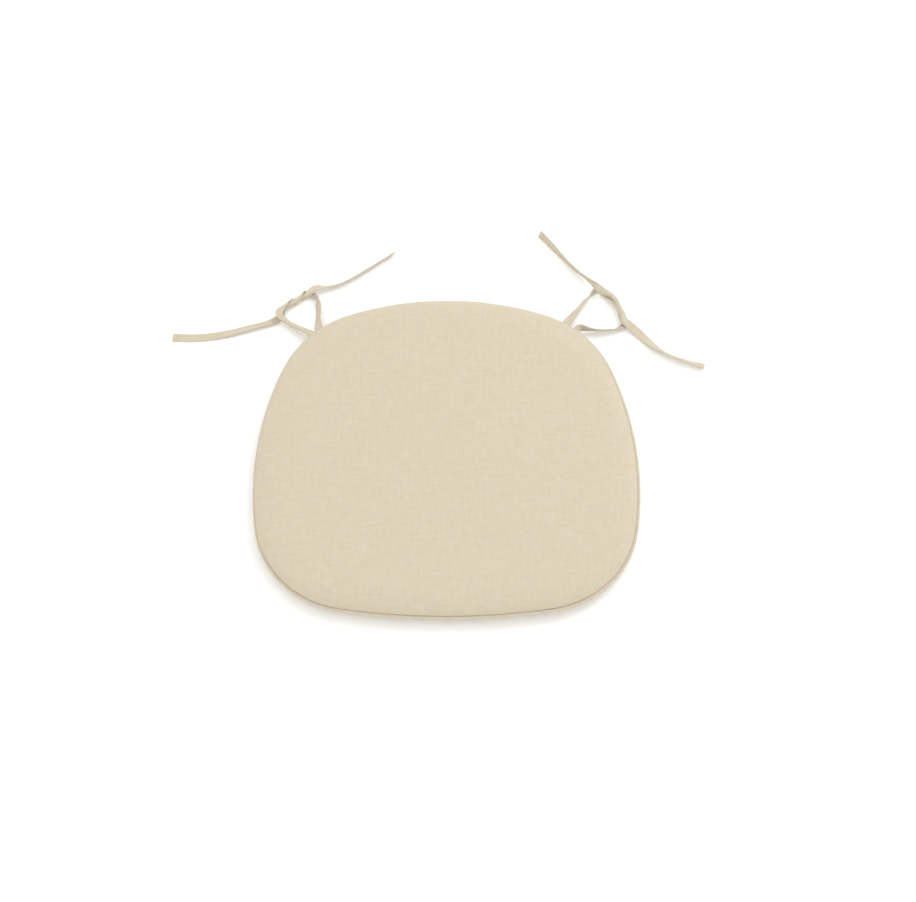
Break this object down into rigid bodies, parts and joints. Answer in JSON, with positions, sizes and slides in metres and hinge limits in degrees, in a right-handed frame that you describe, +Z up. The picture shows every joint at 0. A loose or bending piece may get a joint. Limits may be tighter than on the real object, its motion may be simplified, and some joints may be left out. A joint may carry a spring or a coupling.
{
  "type": "chair seat pad",
  "caption": "D-shaped padded chair cushion in piped linen, with a zip along its back edge and tie tapes knotted at its two back corners.",
  "frame": {"origin": "middle of the pad's footprint, on the seat it lies on, the free ties left out", "axes": "+Z up, +Y towards the back of the chair where the ties are, +X to the right seen from the front"},
  "size_m": [0.6068, 0.497, 0.031],
  "materials": {
    "linen": "plain-weave linen blend, natural beige, matt",
    "piping_linen": "the same linen cut on the bias",
    "tie_linen": "the same linen folded and edge-stitched into tape",
    "foam": "open-cell polyurethane foam",
    "wadding": "loose white polyester wadding",
    "cotton_cord": "twisted cotton cord",
    "thread": "spun polyester thread",
    "label": "plain white satin ribbon, blank",
    "zip_tape": "twill zip tape",
    "zip_coil": "moulded nylon coil",
    "zip_metal": "nickel-plated die casting"
  },
  "bodies": {
    "cushion": {"foam_core": "foam", "wadding_top": "wadding", "wadding_under": "wadding", "top_panel": "linen", "underside_panel": "linen", "piping_cover": "piping_linen", "piping_cord": "cotton_cord", "seam_thread": "thread", "care_label": "label", "zip_tape_upper": "zip_tape", "zip_tape_lower": "zip_tape", "zip_coil_upper": "zip_coil", "zip_coil_lower": "zip_coil", "zip_top_stops": "zip_metal", "zip_bottom_stop": "zip_metal", "zip_stitching": "thread", "tie_left_outer": "tie_linen", "tie_left_inner": "tie_linen", "tie_right_inner": "tie_linen", "tie_right_outer": "tie_linen"},
    "slider": {"zip_slider": "zip_metal"},
    "pull_tab": {"zip_pull": "zip_metal"}
  },
  "joints": [
    {"name": "zip_slide", "type": "hinge", "parent": "cushion", "child": "slider", "pos_m": [0, -0.12845, 0.0089], "axis": [0, 0, 1], "range_deg": [0, 34], "deforming": ["zip_coil_upper", "zip_coil_lower"]},
    {"name": "pull_swing", "type": "hinge", "parent": "slider", "child": "pull_tab", "pos_m": [0.09516, 0.17706, 0.0089], "axis": [0, 0, -1], "range_deg": [0, 170]}
  ]
}
